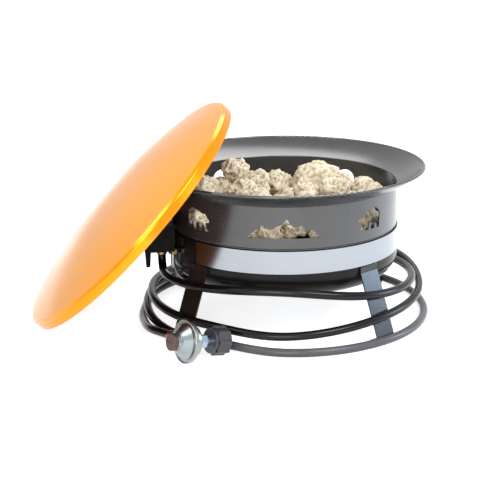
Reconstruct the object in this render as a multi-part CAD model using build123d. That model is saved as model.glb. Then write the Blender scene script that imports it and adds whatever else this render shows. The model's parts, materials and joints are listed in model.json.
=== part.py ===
from build123d import *
import math
import os

# Propane fire bowl: a flared steel fire ring on a lower bowl with four splayed
# legs, a ring burner under lava rock, a side valve, a gas hose wound round the
# legs, a regulator with a tank coupling, and a domed lid that leans on the rim.
# The frame's origin is on the ground under the bowl's axis, with +Z up. An
# azimuth is counted from the front (-Y) towards the right (+X), in degrees.

os.makedirs("parts", exist_ok=True)

# Overall sizes, mm
rim_diameter = 482.6
rim_height = 263.0
wall_diameter = 388.0
flare_height = 30.0
lip_radius = 2.5
ring_sheet = 1.5
bowl_sheet = 1.5
tray_sheet = 1.2
seam_height = 162.0
seam_step = 1.6
seam_flange = 10.0
fit_gap = 0.1
rest_gap = 0.3

# Cut-outs in the fire ring
cutout_rise = 19.5
mountain_width = 117.0
mountain_height = 32.0
bear_width = 53.0
bear_height = 35.0
mountain_azimuths = (0, 97, -97)
bears_facing_right = (-46.5, 146.5)
bears_facing_left = (46.5, -146.5)

# Lower bowl
bowl_corner = 35.0
bowl_floor = 79.0
bowl_hole_diameter = 44.0
vent_hole_diameter = 12.0
vent_circle_diameter = 190.0
vent_count = 6

# Label band
label_start = -47.0
label_sweep = 142.0
label_height = 37.5
label_thickness = 0.4
label_drop = 1.5

# Rivets that join the ring, the tray and the lower bowl
rivet_count = 8
rivet_diameter = 4.0
rivet_head_diameter = 7.5
rivet_head_height = 1.6

# Legs
leg_azimuths = {"front_right": 45, "rear_right": 135, "rear_left": 225, "front_left": 315}
leg_width = 40.0
leg_sheet = 2.5
leg_top = 122.0
leg_bend = 113.0
leg_spread = 43.0
leg_foot = 22.0
leg_bend_radius = 6.0

# Burner tray, burner ring and the gas path to it
tray_wall_gap = 12.5
tray_depth = 10.0
tray_hole_diameter = 46.0
tray_corner = 4.0
burner_diameter = 200.0
burner_tube_diameter = 16.0
burner_lift = 12.0
burner_spoke_diameter = 12.0
burner_hub_diameter = 30.0
burner_hub_height = 34.0
feed_insert = 10.0
jet_count = 16
jet_diameter = 2.2
jet_depth = 3.0
stand_count = 4
stand_width = 18.0
stand_length = 24.0
stand_sheet = 2.0
feed_azimuth = -65.5
feed_diameter = 8.0
feed_radius = 204.5
feed_elbow = 16.0

# Valve, its box and its knob
valve_azimuth = -78.0
box_bottom = 133.0
box_top = 178.0
box_width = 114.0
box_sheet = 1.2
box_corner = 7.0
bracket_sheet = 1.5
bracket_half_angle = 14.0
bracket_height = 20.0
bracket_shelf = 136.0
bracket_screw_angle = 6.5
bracket_screw_height = 149.5
screw_diameter = 5.0
screw_head_diameter = 9.0
screw_head_height = 3.0
valve_block = 24.0
valve_inlet_radius = 213.0
valve_front_reach = 38.6
valve_arm_diameter = 10.0
valve_nut_across = 14.0
valve_nut_height = 9.0
valve_nut_top = 136.0
stem_diameter = 8.0
stem_clearance = 0.06
stem_flat = 1.5
knob_diameter = 38.0
knob_height = 19.0
knob_wall = 2.4
knob_flute_count = 10
knob_flute_radius = 3.0
guide_width = 9.5
guide_length = 30.0
guide_sheet = 2.0
guide_setback = 12.0

# Gas hose and its end fittings
hose_diameter = 14.0
hose_leg_gap = 1.2
ferrule_wall = 1.6
ferrule_length = 13.0
hose_hex_across = 19.0
hose_hex_height = 6.0
hose_lead_bend = 25.0
hose_sag = 2.5
front_heights = (90.0, 31.0, 7.3)
front_right_heights = (71.0, 39.0, 7.3)
right_heights = (62.0, 46.0, 7.3)
rear_right_heights = (61.0, 68.0, 9.0)
rear_heights = (58.0, 40.0, 7.3)
rear_left_heights = (40.0, 22.0, 7.3)
left_heights = (46.0, 27.0, 7.3)
front_left_heights = (42.0, 15.0)
nut_hose_heights = {1: 36.0, 2: 10.0}
nut_hose_gap = 3.5
hose_offsets = {(0, 315): 4.5, (1, 90): 8.0, (1, 135): 23.0, (1, 315): 4.5}
hose_climb_place = (-222.0, -158.0, 19.0)
hose_climb_way = (0.26, -0.95, 0.17)

# Regulator and tank coupling
regulator_x = -153.0
regulator_y = -271.0
regulator_heading = 34.0
regulator_droop = 7.0
regulator_diameter = 71.0
regulator_flange = 2.5
bonnet_diameter = 58.0
bonnet_depth = 17.0
vent_cap_diameter = 28.0
vent_cap_height = 8.0
back_case_depth = 13.0
outlet_boss_diameter = 18.0
outlet_reach = 52.0
nipple_diameter = 15.0
nipple_hex_across = 19.0
nipple_hex_length = 16.0
nipple_length = 30.0
coupling_start = 43.0
coupling_length = 30.0
coupling_diameter = 48.0
coupling_bore = 33.4
coupling_wall = 7.0
coupling_lip = 2.0
coupling_lobes = 8
coupling_running_gap = 0.08

# Lid
lid_diameter = 489.0
lid_band = 19.0
lid_step = 5.0
lid_rise = 30.0
lid_sheet = 1.2
lid_lean = 43.3
lid_azimuth = -82.0

# Lava rock
rock_gap = 0.35
rock_wall_gap = 2.0
roll_reach = 13.0
rolls = ((0, 0), (1, 0), (-1, 0), (0, 1), (0, -1))
heap_top = 266.0

# Sizes that follow from the ones above
rim_radius = rim_diameter / 2
wall_radius = wall_diameter / 2
bowl_radius = wall_radius + seam_step
hose_radius = hose_diameter / 2
feed_tube_radius = feed_diameter / 2
cutout_base = seam_height + cutout_rise
tray_wall_diameter = wall_diameter - 2 * ring_sheet - 2 * tray_wall_gap
tray_top = seam_height + tray_sheet
ring_bottom = tray_top
tray_floor = seam_height - tray_depth
leg_face_radius = bowl_radius + leg_sheet
leg_slope = leg_spread / leg_bend
leg_angle = math.atan(leg_slope)
burner_height = tray_floor + tray_sheet + burner_lift + burner_tube_diameter / 2
valve_height = bracket_shelf + bracket_sheet + valve_block / 2
hub_top = burner_height + burner_spoke_diameter / 2 + 3
hub_bottom = hub_top - burner_hub_height
heap_radius = tray_wall_diameter / 2 - tray_sheet - rock_wall_gap
box_face = valve_inlet_radius + valve_front_reach
box_depth = box_face - bowl_radius - 2


def radial(azimuth):
    """Turns a piece drawn along +X to an azimuth round the bowl."""
    return Rot(0, 0, azimuth - 90)


def spun(outline, arc=360):
    """Revolves an outline drawn as (radius, height) about the Z axis."""
    return revolve(Plane.XZ * outline, Axis.Z, revolution_arc=arc)


def sheet_outline(path, thickness, side=Side.LEFT):
    """Closes a path into the outline of a bent sheet."""
    return make_face(offset(path, amount=thickness, side=side, closed=True))


def tube(outer_radius, inner_radius, height):
    return extrude(Circle(outer_radius) - Circle(inner_radius), height)


def hexagon(across, height, bore=0.0):
    outline = RegularPolygon(across / 2, 6, major_radius=False)
    if bore > 0:
        outline -= Circle(bore / 2)
    return extrude(outline, height)


def screw(length, head_down=False):
    """A pan-headed screw along +Z, its head above z = 0."""
    shank = extrude(Circle(screw_diameter / 2), -length)
    head = extrude(Circle(screw_head_diameter / 2), screw_head_height)
    head = fillet(head.faces().sort_by(Axis.Z)[-1].edges(), 1.2)
    return shank + head


def mountain_outline():
    half = mountain_width / 2
    high = mountain_height
    crest = [
        (-half, 0), (-0.78 * half, 0.40 * high), (-0.69 * half, 0.50 * high), (-0.60 * half, 0.68 * high),
        (-0.52 * half, 0.55 * high), (-0.41 * half, 0.47 * high), (-0.28 * half, 0.50 * high),
        (-0.19 * half, 0.64 * high), (-0.07 * half, 0.70 * high), (0.08 * half, high),
        (0.29 * half, 0.59 * high), (0.38 * half, 0.57 * high), (0.48 * half, 0.67 * high),
        (0.60 * half, 0.47 * high), (0.74 * half, 0.51 * high), (0.86 * half, 0.28 * high), (half, 0),
    ]
    return make_face(Polyline(*crest, close=True))


def bear_outline():
    """A walking bear, seen from the side and facing +X."""
    wide = bear_width / 52
    high = bear_height / 42
    back = Spline((0, 22), (5, 37), (16, 42), (29, 38), (40, 34))
    head = Polyline((40, 34), (42.5, 36.5), (45, 32), (52, 23), (50.5, 18), (45, 17.5), (44, 15))
    legs = Polyline(
        (44, 15), (47, 7), (50, 2), (49, 0), (42, 0), (38, 12), (36, 5), (37, 0), (29, 0),
        (28, 13), (21, 13), (23, 5), (23, 0), (15, 0), (12, 12), (8, 5), (9, 0), (1, 0), (0, 22),
    )
    outline = make_face(Curve() + [back, head, legs])
    centred = Pos(-26, 0) * outline
    return scale(centred, by=(wide, high, 1))


def cutter(outline, azimuth, mirrored=False):
    """Pushes an outline outwards through the wall at an azimuth."""
    if mirrored:
        outline = mirror(outline, Plane.YZ)
    depth = 40.0
    face = Plane(origin=(wall_radius - depth / 2, 0, cutout_base), x_dir=(0, 1, 0), z_dir=(1, 0, 0))
    return radial(azimuth) * extrude(face * outline, depth)


def rivet_places():
    step = 360 / rivet_count
    return [(k + 0.5) * step for k in range(rivet_count)]


rivet_circle_radius = wall_radius - ring_sheet - seam_flange / 2 + 0.2


def rivet_holes():
    hole = Pos(rivet_circle_radius, 0, seam_height) * Cylinder(rivet_diameter / 2 + fit_gap, 20)
    return [radial(a) * hole for a in rivet_places()]


def fire_ring():
    flare_base = rim_height - flare_height
    lip_centre = rim_radius - lip_radius
    end = (lip_centre, rim_height - lip_radius)
    flange_end = (wall_radius - ring_sheet - seam_flange, ring_bottom)
    wall = FilletPolyline(flange_end, (wall_radius, ring_bottom), (wall_radius, flare_base), radius=2.0)
    half_way = (0.5 * (wall_radius + end[0]) + 1.4, 0.5 * (flare_base + end[1]) - 2.4)
    flare = ThreePointArc((wall_radius, flare_base), half_way, end)
    body = spun(sheet_outline(Wire([*wall.edges(), flare]), ring_sheet))
    lip = Pos(0, 0, rim_height - lip_radius) * Torus(lip_centre, lip_radius)
    body = body + lip
    for azimuth in mountain_azimuths:
        body -= cutter(mountain_outline(), azimuth)
    for azimuth in bears_facing_right:
        body -= cutter(bear_outline(), azimuth)
    for azimuth in bears_facing_left:
        body -= cutter(bear_outline(), azimuth, mirrored=True)
    for hole in rivet_holes():
        body -= hole
    return body


def bracket_hole():
    reach = bowl_radius
    hole = Pos(reach, 0, bracket_screw_height) * Rot(0, 90, 0) * Cylinder(screw_diameter / 2 + fit_gap, 20)
    return [radial(valve_azimuth + s * bracket_screw_angle) * hole for s in (-1, 1)]


def lower_bowl():
    flange_end = (wall_radius - ring_sheet - seam_flange, seam_height)
    path = FilletPolyline(
        (bowl_hole_diameter / 2, bowl_floor), (bowl_radius, bowl_floor),
        (bowl_radius, seam_height), flange_end, radius=[bowl_corner, 2.5],
    )
    body = spun(sheet_outline(path, bowl_sheet))
    for hole in rivet_holes() + bracket_hole():
        body -= hole
    vent = Pos(vent_circle_diameter / 2, 0, bowl_floor) * Cylinder(vent_hole_diameter / 2, 10)
    for k in range(vent_count):
        body -= radial(k * 360 / vent_count) * vent
    return body


def label_band():
    inner = bowl_radius + 0.05
    top = seam_height - label_drop
    strip = Pos(inner + label_thickness / 2, top - label_height / 2) * Rectangle(label_thickness, label_height)
    return radial(label_start) * spun(strip, label_sweep)


def leg():
    face = FilletPolyline(
        (leg_face_radius, leg_top), (leg_face_radius, leg_bend),
        (leg_face_radius + leg_spread, 0), (leg_face_radius + leg_spread - leg_foot, 0),
        radius=leg_bend_radius,
    )
    side = Plane.XZ * sheet_outline(face, leg_sheet, Side.RIGHT)
    strap = extrude(side, leg_width / 2, both=True)
    clear = bowl_radius + 0.05
    return strap - Pos(0, 0, leg_top) * Cylinder(clear, 2 * leg_top)


def seam_rivets():
    grip = ring_sheet + tray_sheet + bowl_sheet
    shank = Cylinder(rivet_diameter / 2, grip)
    head = Cylinder(rivet_head_diameter / 2, rivet_head_height)
    head = fillet(head.faces().sort_by(Axis.Z)[-1].edges(), 0.8)
    rise = grip / 2 + rivet_head_height / 2
    rivet = shank + Pos(0, 0, rise) * head + Pos(0, 0, -rise) * Rot(180, 0, 0) * head
    middle = seam_height - bowl_sheet + grip / 2
    rivet = Pos(rivet_circle_radius, 0, middle) * rivet
    return Compound([radial(a) * rivet for a in rivet_places()])


def burner_tray():
    rim = wall_radius - 1.0
    path = FilletPolyline(
        (tray_hole_diameter / 2, tray_floor), (tray_wall_diameter / 2, tray_floor),
        (tray_wall_diameter / 2, seam_height), (rim, seam_height), radius=[tray_corner, 1.0],
    )
    body = spun(sheet_outline(path, tray_sheet))
    for hole in rivet_holes():
        body -= hole
    return body


def burner_ring():
    section = Pos(burner_diameter / 2, burner_height) * RegularPolygon(burner_tube_diameter / 2, 16)
    spoke = Pos(0, 0, burner_height) * Rot(0, 90, 0) * Cylinder(burner_spoke_diameter / 2, burner_diameter)
    hub = Pos(0, 0, hub_bottom) * extrude(Circle(burner_hub_diameter / 2), hub_top - hub_bottom)
    socket = Pos(0, 0, hub_bottom) * extrude(Circle(feed_tube_radius + fit_gap), feed_insert)
    body = spun(section) + spoke + hub - socket
    jet_top = burner_height + burner_tube_diameter / 2
    jet = Pos(burner_diameter / 2, 0, jet_top) * Cylinder(jet_diameter / 2, 2 * jet_depth)
    for k in range(jet_count):
        body -= radial((k + 0.5) * 360 / jet_count) * jet
    return body


def burner_stands():
    """Saddles on the tray floor, notched for the burner's tube."""
    base = tray_floor + tray_sheet
    height = burner_height - base - 2
    outer = Pos(0, 0, height / 2) * Box(stand_length, stand_width, height)
    inner = Pos(0, 0, height / 2 + stand_sheet) * Box(stand_length, stand_width - 2 * stand_sheet, height)
    clip = Pos(burner_diameter / 2, 0, base) * (outer - inner)
    clip -= Pos(0, 0, burner_height) * Torus(burner_diameter / 2, burner_tube_diameter / 2 + fit_gap)
    return Compound([radial((k + 0.5) * 360 / stand_count) * clip for k in range(stand_count)])


def feed_pipe():
    """From the valve's outlet nut round the bowl's corner and up to the burner."""
    corner_z = bowl_floor + bowl_corner
    corner_r = bowl_radius - bowl_corner
    bend = feed_radius - corner_r
    low = corner_z - bend
    start = (feed_radius, valve_nut_top)
    end = (0, hub_bottom + feed_insert - 2)
    path = FilletPolyline(start, (feed_radius, low), (0, low), end, radius=[bend, feed_elbow])
    section = Plane(origin=(start[0], 0, start[1]), z_dir=(0, 0, -1)) * Circle(feed_tube_radius)
    pipe = sweep(section, path=Plane.XZ * path)
    return radial(feed_azimuth) * pipe


def outlet_nut():
    nut = hexagon(valve_nut_across, valve_nut_height, feed_diameter + 2 * fit_gap)
    return radial(feed_azimuth) * Pos(feed_radius, 0, valve_nut_top - valve_nut_height) * nut


def outlet_place():
    """The outlet's place in the valve's own frame: along the radius, and sideways."""
    turn = math.radians(feed_azimuth - valve_azimuth)
    return feed_radius * math.cos(turn), feed_radius * math.sin(turn)


def rounded_block(length, width, height, radius):
    block = Box(length, width, height)
    return fillet(block.edges().filter_by(Axis.Z), radius)


def valve_body():
    centre = valve_inlet_radius + 3
    block = Pos(centre, 0, valve_height) * rounded_block(valve_block, valve_block, valve_block, 3)
    out_r, out_t = outlet_place()
    start = Vector(centre, 0, valve_height)
    run = Vector(out_r, out_t, valve_height) - start
    arm_plane = Plane(origin=start, z_dir=run)
    arm = arm_plane.location * extrude(Circle(valve_arm_diameter / 2), run.length)
    knuckle = Pos(out_r, out_t, valve_height) * Sphere(valve_arm_diameter / 2 + 1)
    drop = valve_height - valve_nut_top
    stub = Pos(out_r, out_t, valve_nut_top) * extrude(Circle(valve_arm_diameter / 2), drop)
    neck_length = box_face - box_sheet - 1 - centre
    neck = Pos(centre, 0, valve_height) * Rot(0, 90, 0) * extrude(Circle(7), neck_length)
    inlet_bottom = bracket_shelf - 2
    inlet = Pos(valve_inlet_radius, 0, inlet_bottom) * extrude(Circle(6.5), bracket_sheet + 4)
    bore = Pos(centre + 4, 0, valve_height) * Rot(0, 90, 0)
    bore = bore * extrude(Circle(stem_diameter / 2 + stem_clearance), neck_length)
    body = block + arm + knuckle + stub + neck + inlet - bore
    return radial(valve_azimuth) * body


def valve_stem():
    start = valve_inlet_radius + 3 + 4 + rest_gap
    end = box_face + knob_height - knob_wall - rest_gap
    shaft = Pos(start, 0, valve_height) * Rot(0, 90, 0) * extrude(Circle(stem_diameter / 2), end - start)
    flat_length = end - box_face - 2
    flat = Pos(end - flat_length / 2, 0, valve_height + stem_diameter - stem_flat)
    flat = flat * Box(flat_length, 2 * stem_diameter, stem_diameter)
    return radial(valve_azimuth) * (shaft - flat)


def control_knob():
    start = box_face + 1.0
    skirt = extrude(Circle(knob_diameter / 2), 5)
    grip = extrude(Circle(knob_diameter / 2 - 3), knob_height - 1)
    for k in range(knob_flute_count):
        turn = 2 * math.pi * (k + 0.5) / knob_flute_count
        reach = knob_diameter / 2 - 3 + knob_flute_radius * 0.45
        flute = Pos(reach * math.cos(turn), reach * math.sin(turn), 6)
        grip -= flute * extrude(Circle(knob_flute_radius), knob_height)
    body = skirt + grip
    body -= extrude(Circle(knob_diameter / 2 - 3 - 2 * knob_wall), knob_height - 1 - knob_wall)
    boss_height = knob_height - 1 - knob_wall
    boss = extrude(Circle(stem_diameter / 2 + 2.5), boss_height)
    reach = stem_diameter + 2 * fit_gap
    bore = extrude(Circle(reach / 2), boss_height)
    flat_height = boss_height - 2
    key = Pos(0, stem_diameter - stem_flat + fit_gap, boss_height - flat_height / 2 + 1)
    bore -= key * Box(2 * reach, stem_diameter, flat_height + 2)
    body = body + boss - bore
    pointer = Pos(0, (knob_diameter / 2 - 6) / 2 + 2, knob_height - 1) * Box(2.0, knob_diameter / 2 - 9, 1.0)
    body = body + pointer
    place = Plane(origin=(start, 0, valve_height), x_dir=(0, 1, 0), z_dir=(1, 0, 0))
    return radial(valve_azimuth) * (place.location * body)


def valve_box():
    """A cover of bent sheet, open towards the bowl and below."""
    height = box_top - box_bottom
    back = box_face - box_depth
    middle = (back + box_face) / 2
    outer = Pos(middle, 0, box_bottom + height / 2) * Box(box_depth, box_width, height)
    front_edges = outer.edges().filter_by(Axis.Z).sort_by(Axis.X)[-2:]
    outer = fillet(front_edges, box_corner)
    inner = Pos(middle - box_sheet, 0, box_bottom + height / 2 - box_sheet)
    inner = inner * Box(box_depth, box_width - 2 * box_sheet, height)
    hole = Pos(box_face, 0, valve_height) * Rot(0, 90, 0) * Cylinder(7 + 2 * fit_gap, 10)
    body = outer - inner - hole
    flare_clear = Pos(0, 0, box_bottom) * Cylinder(bowl_radius + 0.4, 200)
    return radial(valve_azimuth) * (body - flare_clear)


def valve_bracket():
    inner = bowl_radius + 0.05
    sweep_angle = 2 * bracket_half_angle
    strip_middle = (inner + bracket_sheet / 2, bracket_shelf + bracket_height / 2)
    strip = Pos(*strip_middle) * Rectangle(bracket_sheet, bracket_height)
    plate = Rot(0, 0, -bracket_half_angle) * spun(strip, sweep_angle)
    shelf_end = box_face - box_sheet - fit_gap
    shelf_width = box_width - 2 * box_sheet - 2 * fit_gap
    shelf_length = shelf_end - (inner - 20)
    shelf = Pos(shelf_end - shelf_length / 2, 0, bracket_shelf + bracket_sheet / 2)
    shelf = shelf * Box(shelf_length, shelf_width, bracket_sheet)
    corners = shelf.edges().filter_by(Axis.Z).sort_by(Axis.X)[-2:]
    shelf = fillet(corners, box_corner - box_sheet)
    shelf -= Pos(0, 0, bracket_shelf) * Cylinder(inner, 60)
    body = plate + shelf
    body -= Pos(valve_inlet_radius, 0, bracket_shelf) * Cylinder(6.5 + 2 * fit_gap, 20)
    out_r, out_t = outlet_place()
    body -= Pos(out_r, out_t, bracket_shelf) * Cylinder(valve_arm_diameter / 2 + 1 + fit_gap, 8)
    body = radial(valve_azimuth) * body
    for hole in bracket_hole():
        body -= hole
    return body


def bracket_screws():
    head_face = bowl_radius + 0.05 + bracket_sheet
    wall_inside = bowl_radius - bowl_sheet
    nut_height = 4.0
    length = head_face - wall_inside + nut_height + 2
    one = Pos(head_face + 0.05, 0, bracket_screw_height) * Rot(0, 90, 0) * screw(length)
    nut_place = Pos(wall_inside - nut_height - 0.1, 0, bracket_screw_height)
    nut = nut_place * Rot(0, 90, 0) * hexagon(8.0, nut_height, screw_diameter + 0.1)
    solids = []
    for side in (-1, 1):
        turn = radial(valve_azimuth + side * bracket_screw_angle)
        solids += [turn * one, turn * nut]
    return Compound([s for item in solids for s in item.solids()])


def hose_guide():
    """A steel finger that hangs from the shelf and keeps the hose off the box."""
    reach = box_face - guide_setback
    side = box_width / 2 - box_sheet - fit_gap - guide_width / 2 - 2
    top = bracket_shelf
    drop = Pos(reach, side, top - guide_length / 2) * Box(guide_sheet, guide_width, guide_length)
    tab = Pos(reach - 5, side, top - guide_sheet / 2) * Box(10 + guide_sheet, guide_width, guide_sheet)
    tip = drop.edges().filter_by(Axis.X).sort_by(Axis.Z)[:2]
    drop = fillet(tip, guide_width / 2 - 0.5)
    return radial(valve_azimuth) * (drop + tab)


inlet_hex_top = bracket_shelf - 2
hose_top = inlet_hex_top - hose_hex_height


def inlet_hex():
    hexa = hexagon(hose_hex_across, hose_hex_height)
    return radial(valve_azimuth) * Pos(valve_inlet_radius, 0, hose_top) * hexa


def ferrule():
    return tube(hose_radius + fit_gap / 2 + ferrule_wall, hose_radius + fit_gap / 2, ferrule_length)


def valve_ferrule():
    return radial(valve_azimuth) * Pos(valve_inlet_radius, 0, hose_top - ferrule_length) * ferrule()


# The regulator leans back on the edge of its disc and on its coupling nut
coupling_grip_end = coupling_start + coupling_length - coupling_lip
regulator_tilt = math.degrees(math.atan(
    (regulator_diameter - coupling_diameter) / 2 / (coupling_grip_end - regulator_flange)
))
regulator_z = (
    regulator_diameter / 2 * math.cos(math.radians(regulator_tilt))
    + regulator_flange * math.sin(math.radians(regulator_tilt)) + rest_gap
)
heading = math.radians(regulator_heading)
dip = math.radians(regulator_tilt)
coupling_axis = Vector(
    math.cos(heading) * math.cos(dip), math.sin(heading) * math.cos(dip), -math.sin(dip)
)
outlet_axis = Vector(-math.sin(heading), math.cos(heading), 0).rotate(
    Axis((0, 0, 0), tuple(coupling_axis)), -regulator_droop
)
regulator_centre = Vector(regulator_x, regulator_y, regulator_z)
regulator_plane = Plane(origin=regulator_centre, x_dir=outlet_axis, z_dir=coupling_axis)
outlet_depth = regulator_flange + back_case_depth / 2


def on_regulator(shape):
    return regulator_plane.location * shape


def regulator_case():
    disc = regulator_diameter / 2
    flange = extrude(Circle(disc), regulator_flange)
    dome = Pos(0, 0, regulator_flange) * extrude(Circle(bonnet_diameter / 2 - 1), back_case_depth, taper=14)
    dome = fillet(dome.faces().sort_by(Axis.Z)[-1].edges(), 3)
    boss = Pos(0, 0, outlet_depth) * Rot(0, 90, 0) * extrude(Circle(outlet_boss_diameter / 2), outlet_reach)
    neck = extrude(Circle(nipple_diameter / 2 + 3), regulator_flange + back_case_depth + 3)
    body = flange + dome + boss + neck
    keep = Pos(0, 0, 50) * Cylinder(100, 100)
    return on_regulator(body & keep)


def regulator_bonnet():
    disc = regulator_diameter / 2
    rim = extrude(Circle(disc), -regulator_flange)
    top_radius = vent_cap_diameter / 2 + 1
    outline = Polyline(
        (0, 0), (bonnet_diameter / 2, 0), (bonnet_diameter / 2, -regulator_flange - 2),
        (top_radius + 3, -bonnet_depth + 2), (top_radius, -bonnet_depth),
        (top_radius, -bonnet_depth - 5), (0, -bonnet_depth - 5), close=True,
    )
    body = rim + spun(make_face(outline))
    crimp = Pos(0, 0, -regulator_flange) * Torus(disc - 1.5, 1.4)
    return on_regulator(body + crimp)


def vent_cap():
    cap = extrude(Circle(vent_cap_diameter / 2), -vent_cap_height)
    cap = fillet(cap.faces().sort_by(Axis.Z)[0].edges(), 1.2)
    slot = Pos(0, 0, -vent_cap_height) * Box(vent_cap_diameter * 0.6, 2.0, 1.6)
    return on_regulator(Pos(0, 0, -bonnet_depth - 5) * (cap - slot))


nipple_start = regulator_flange + back_case_depth + 3
nipple_end = nipple_start + nipple_hex_length + nipple_length
coupling_seat = nipple_start + nipple_hex_length


def inlet_nipple():
    hexa = hexagon(nipple_hex_across, nipple_hex_length)
    shank = extrude(Circle(nipple_diameter / 2), nipple_hex_length + nipple_length)
    shank = fillet(shank.faces().sort_by(Axis.Z)[-1].edges(), 2.5)
    gas_way = Pos(0, 0, nipple_hex_length + nipple_length - 10) * extrude(Circle(3), 10)
    return on_regulator(Pos(0, 0, nipple_start) * (hexa + shank - gas_way))


def coupling_nut():
    radius = coupling_diameter / 2
    outline = Circle(radius - 2.5)
    lobe_radius = math.pi * radius / coupling_lobes * 0.42
    for k in range(coupling_lobes):
        turn = 2 * math.pi * k / coupling_lobes
        place = Pos((radius - lobe_radius) * math.cos(turn), (radius - lobe_radius) * math.sin(turn))
        outline += place * Circle(lobe_radius)
    collar_length = 6.0
    grip = Pos(0, 0, collar_length) * extrude(outline, coupling_length - collar_length - coupling_lip)
    collar = extrude(Circle(radius - 4), coupling_length)
    body = grip + collar
    body -= extrude(Circle(nipple_diameter / 2 + coupling_running_gap), coupling_length)
    body -= Pos(0, 0, coupling_wall) * extrude(Circle(coupling_bore / 2), coupling_length)
    return on_regulator(Pos(0, 0, coupling_start) * body)


def hose_end_place():
    """Where the hose meets the regulator's outlet."""
    return regulator_centre + outlet_axis * outlet_reach + coupling_axis * outlet_depth


def regulator_ferrule():
    end = hose_end_place()
    plane = Plane(origin=end, z_dir=outlet_axis)
    return plane.location * ferrule()


def on_coil(azimuth, radius, height):
    turn = math.radians(azimuth)
    return Vector(radius * math.sin(turn), -radius * math.cos(turn), height)


def leg_reach(height):
    """Radius of the hose's centre where it lies against the legs."""
    face = leg_face_radius + leg_slope * (leg_bend - height)
    return face + (hose_radius + hose_leg_gap) / math.cos(leg_angle)


def stations_behind_nut():
    """Where the turns pass close behind the coupling nut."""
    corner = regulator_centre + coupling_axis * coupling_grip_end + outlet_axis * (coupling_diameter / 2)
    azimuth = math.degrees(math.atan2(corner.X, -corner.Y))
    radius = math.hypot(corner.X, corner.Y) - hose_radius - nut_hose_gap
    return [(360 * turn + azimuth, radius, height) for turn, height in nut_hose_heights.items()]


def coil_stations():
    """Azimuth, radius and height of the wound hose at the legs and half way between them."""
    around = (
        front_heights, front_right_heights, right_heights, rear_right_heights,
        rear_heights, rear_left_heights, left_heights, front_left_heights,
    )
    stations = []
    for turn in range(len(front_heights)):
        for eighth, heights in enumerate(around):
            if turn >= len(heights):
                continue
            azimuth = 45 * eighth
            radius = leg_reach(heights[turn])
            if eighth % 2 == 0:
                radius -= hose_sag
            radius += hose_offsets.get((turn, azimuth), 0)
            stations.append((360 * turn + azimuth, radius, heights[turn]))
    return sorted(stations + stations_behind_nut())


def coil_nodes():
    """Points and directions of the coil, from its stations."""
    over_leg = (-45, leg_reach(front_heights[0] + 1), front_heights[0] + 1)
    stations = [over_leg] + coil_stations()
    nodes = []
    for k, (azimuth, radius, height) in enumerate(stations):
        before = stations[max(k - 1, 0)]
        after = stations[min(k + 1, len(stations) - 1)]
        span = math.radians(after[0] - before[0])
        out = (after[1] - before[1]) / span
        rise = (after[2] - before[2]) / span
        turn = math.radians(azimuth)
        along = Vector(math.cos(turn), math.sin(turn), 0) * radius
        outward = Vector(math.sin(turn), -math.cos(turn), 0) * out
        nodes.append((on_coil(azimuth, radius, height), (along + outward + Vector(0, 0, rise)).normalized()))
    return nodes


def hose_nodes():
    """The whole hose: from the valve down to the coil, round, and out to the regulator."""
    down = Vector(0, 0, -1)
    top_height = hose_top - ferrule_length - 2
    top = on_coil(valve_azimuth, valve_inlet_radius, top_height)
    bent = valve_azimuth + math.degrees(hose_lead_bend / valve_inlet_radius)
    low = on_coil(bent, valve_inlet_radius + 1.5, top_height - hose_lead_bend)
    low_way = Vector(math.cos(math.radians(bent)), math.sin(math.radians(bent)), 0)
    lead = [(top, down), (low, low_way)]
    end = hose_end_place() + outlet_axis * (ferrule_length + 2)
    climb = (Vector(*hose_climb_place), Vector(*hose_climb_way).normalized())
    tail = [climb, (end, outlet_axis * -1)]
    return lead + coil_nodes() + tail


def biarc(start, start_way, end, end_way):
    """Two arcs that leave and arrive along the given directions."""
    span = end - start
    both = start_way + end_way
    spread = 2 * (1 - start_way.dot(end_way))
    along = span.dot(both)
    if spread < 1e-9:
        reach = span.dot(span) / (2 * along)
    else:
        reach = (math.sqrt(along * along + spread * span.dot(span)) - along) / spread
    middle = (start + end + (start_way - end_way) * reach) * 0.5
    middle_way = (end - end_way * reach - start - start_way * reach).normalized()
    return [(start, start_way, middle), (middle, middle_way, end)]


def arc_radius(start, way, end):
    chord = end - start
    sideways = chord - way * chord.dot(way)
    return chord.dot(chord) / (2 * sideways.length) if sideways.length > 1e-6 else math.inf


def gas_hose():
    nodes = hose_nodes()
    arcs = []
    for (start, start_way), (end, end_way) in zip(nodes, nodes[1:]):
        arcs += biarc(start, start_way, end, end_way)
    first = on_coil(valve_azimuth, valve_inlet_radius, hose_top)
    last = hose_end_place()
    edges = [Line(first, nodes[0][0])]
    edges += [TangentArc(start, end, tangent=way) for start, way, end in arcs]
    edges.append(Line(nodes[-1][0], last))
    path = Wire([e.edge() for e in edges])
    section = Plane(origin=first, z_dir=(0, 0, -1)) * RegularPolygon(hose_radius, 12)
    hose = sweep(section, path=path)
    radii = [arc_radius(start, way, end) for start, way, end in arcs]
    print("hose length", round(path.length, 1), "least bend radius", round(min(radii), 1))
    area = section.area
    print("hose volume against section times length", round(hose.volume / (area * path.length), 4))
    print("least gap of the hose to itself", round(least_gap(path), 2))
    return hose


def least_gap(path):
    """Least clear distance between turns, measured on points along the hose."""
    step = 6.0
    count = int(path.length / step)
    points = [path.position_at(k / count) for k in range(count + 1)]
    skip = int(3.0 * hose_diameter / step) + 1
    least = math.inf
    for i, here in enumerate(points):
        for there in points[i + skip:]:
            apart = here - there
            if abs(apart.Z) < 2 * hose_diameter and apart.length < least:
                least = apart.length
    return least - hose_diameter


def lid_sphere_radius():
    half = lid_diameter / 2 - lid_step
    return (half * half + lid_rise * lid_rise) / (2 * lid_rise)


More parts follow.
